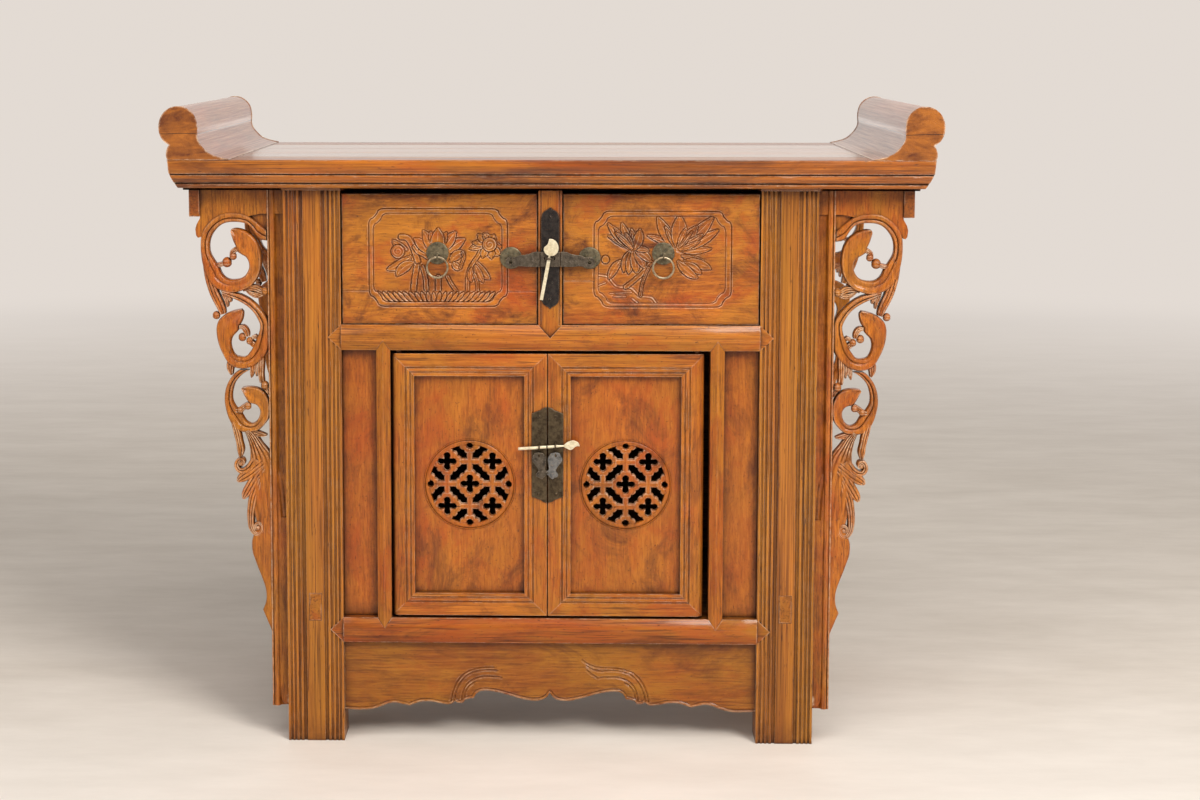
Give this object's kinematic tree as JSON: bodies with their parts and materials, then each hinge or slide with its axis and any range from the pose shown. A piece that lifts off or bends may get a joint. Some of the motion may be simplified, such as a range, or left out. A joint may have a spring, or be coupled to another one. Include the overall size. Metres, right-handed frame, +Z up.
{
  "type": "altar cabinet",
  "caption": "Altar cabinet with everted scroll ends, openwork side wings, drawers with ring pulls over a cupboard with fretwork doors, and pinned iron locks.",
  "frame": {"origin": "middle of the footprint on the floor", "axes": "+X to the right seen from the front, +Y to the back, +Z up"},
  "size_m": [1.089, 0.5, 0.9105],
  "materials": {
    "varnished_wood": "aged orange-brown varnish with worn edges",
    "carved_front": "aged orange-brown varnish over shallow carving",
    "panel_wood": "redder aged varnish",
    "plain_wood": "bare aged softwood",
    "iron": "dark patinated iron with worn highlights",
    "brass": "pale worn brass"
  },
  "bodies": {
    "carcass": {"top_front_rail": "varnished_wood", "top_back_rail": "varnished_wood", "top_end_rails": "varnished_wood", "top_boards": "varnished_wood", "top_battens": "plain_wood", "scroll_end_left": "varnished_wood", "scroll_end_right": "varnished_wood", "end_aprons": "varnished_wood", "leg_front_left": "varnished_wood", "leg_front_right": "varnished_wood", "leg_back_left": "varnished_wood", "leg_back_right": "varnished_wood", "wing_front_left": "varnished_wood", "wing_front_right": "varnished_wood", "wing_back_left": "varnished_wood", "wing_back_right": "varnished_wood", "drawer_rail": "varnished_wood", "bottom_rail": "varnished_wood", "drawer_divider": "varnished_wood", "door_posts": "varnished_wood", "front_panels": "panel_wood", "apron": "varnished_wood", "side_rails": "varnished_wood", "side_panels": "panel_wood", "back_rails": "plain_wood", "back_panels": "plain_wood", "cupboard_floor": "plain_wood", "floor_battens": "plain_wood", "drawer_deck": "plain_wood", "drawer_guides": "plain_wood", "divider_plate": "iron", "lock_block": "iron"},
    "drawer_pin": {"drawer_pin": "brass"},
    "drawer_left": {"drawer_front_left": "carved_front", "drawer_box_left": "plain_wood", "drawer_bottom_left": "plain_wood", "ring_rose_left": "iron", "lock_disc_left": "iron"},
    "drawer_right": {"drawer_front_right": "carved_front", "drawer_box_right": "plain_wood", "drawer_bottom_right": "plain_wood", "ring_rose_right": "iron", "lock_disc_right": "iron"},
    "ring_left": {"ring_pull_left": "iron"},
    "ring_right": {"ring_pull_right": "iron"},
    "arm_left": {"lock_arm_left": "iron"},
    "arm_right": {"lock_arm_right": "iron"},
    "door_left": {"door_stiles_left": "varnished_wood", "door_rails_left": "varnished_wood", "door_panel_left": "panel_wood", "door_plate_left": "iron", "door_pin_tip": "brass"},
    "door_right": {"door_stiles_right": "varnished_wood", "door_rails_right": "varnished_wood", "door_panel_right": "panel_wood", "door_plate_right": "iron"},
    "pendant_left": {"door_pendant_left": "iron"},
    "pendant_right": {"door_pendant_right": "iron"},
    "door_pin": {"door_pin": "brass"}
  },
  "joints": [
    {"name": "drawer_slide_left", "type": "slide", "parent": "carcass", "child": "drawer_left", "axis": [0, -1, 0], "range_m": [0, 0.28]},
    {"name": "ring_swing_left", "type": "hinge", "parent": "drawer_left", "child": "ring_left", "pos_m": [-0.158, -0.2248, 0.698], "axis": [-1, 0, 0], "range_deg": [0, 100]},
    {"name": "arm_swing_left", "type": "hinge", "parent": "drawer_left", "child": "arm_left", "pos_m": [-0.055, -0.229, 0.6965], "axis": [0, 0, -1], "range_deg": [0, 140]},
    {"name": "drawer_slide_right", "type": "slide", "parent": "carcass", "child": "drawer_right", "axis": [0, -1, 0], "range_m": [0, 0.28]},
    {"name": "ring_swing_right", "type": "hinge", "parent": "drawer_right", "child": "ring_right", "pos_m": [0.158, -0.2248, 0.698], "axis": [-1, 0, 0], "range_deg": [0, 100]},
    {"name": "arm_swing_right", "type": "hinge", "parent": "drawer_right", "child": "arm_right", "pos_m": [0.055, -0.229, 0.6965], "axis": [0, 0, 1], "range_deg": [0, 140]},
    {"name": "drawer_pin_lift", "type": "slide", "parent": "carcass", "child": "drawer_pin", "axis": [0.1822, 0, 0.9833], "range_m": [0, 0.06]},
    {"name": "door_swing_left", "type": "hinge", "parent": "carcass", "child": "door_left", "pos_m": [-0.2137, -0.21, 0.37275], "axis": [0, 0, -1], "range_deg": [0, 90]},
    {"name": "pendant_swing_left", "type": "hinge", "parent": "door_left", "child": "pendant_left", "pos_m": [-0.015, -0.2248, 0.41775], "axis": [-1, 0, 0], "range_deg": [0, 90]},
    {"name": "door_swing_right", "type": "hinge", "parent": "carcass", "child": "door_right", "pos_m": [0.2068, -0.21, 0.37275], "axis": [0, 0, 1], "range_deg": [0, 90]},
    {"name": "pendant_swing_right", "type": "hinge", "parent": "door_right", "child": "pendant_right", "pos_m": [0.0081, -0.2248, 0.41775], "axis": [-1, 0, 0], "range_deg": [0, 90]},
    {"name": "door_pin_pull", "type": "slide", "parent": "door_right", "child": "door_pin", "axis": [0.9976, 0, 0.0698], "range_m": [0, 0.045]}
  ]
}
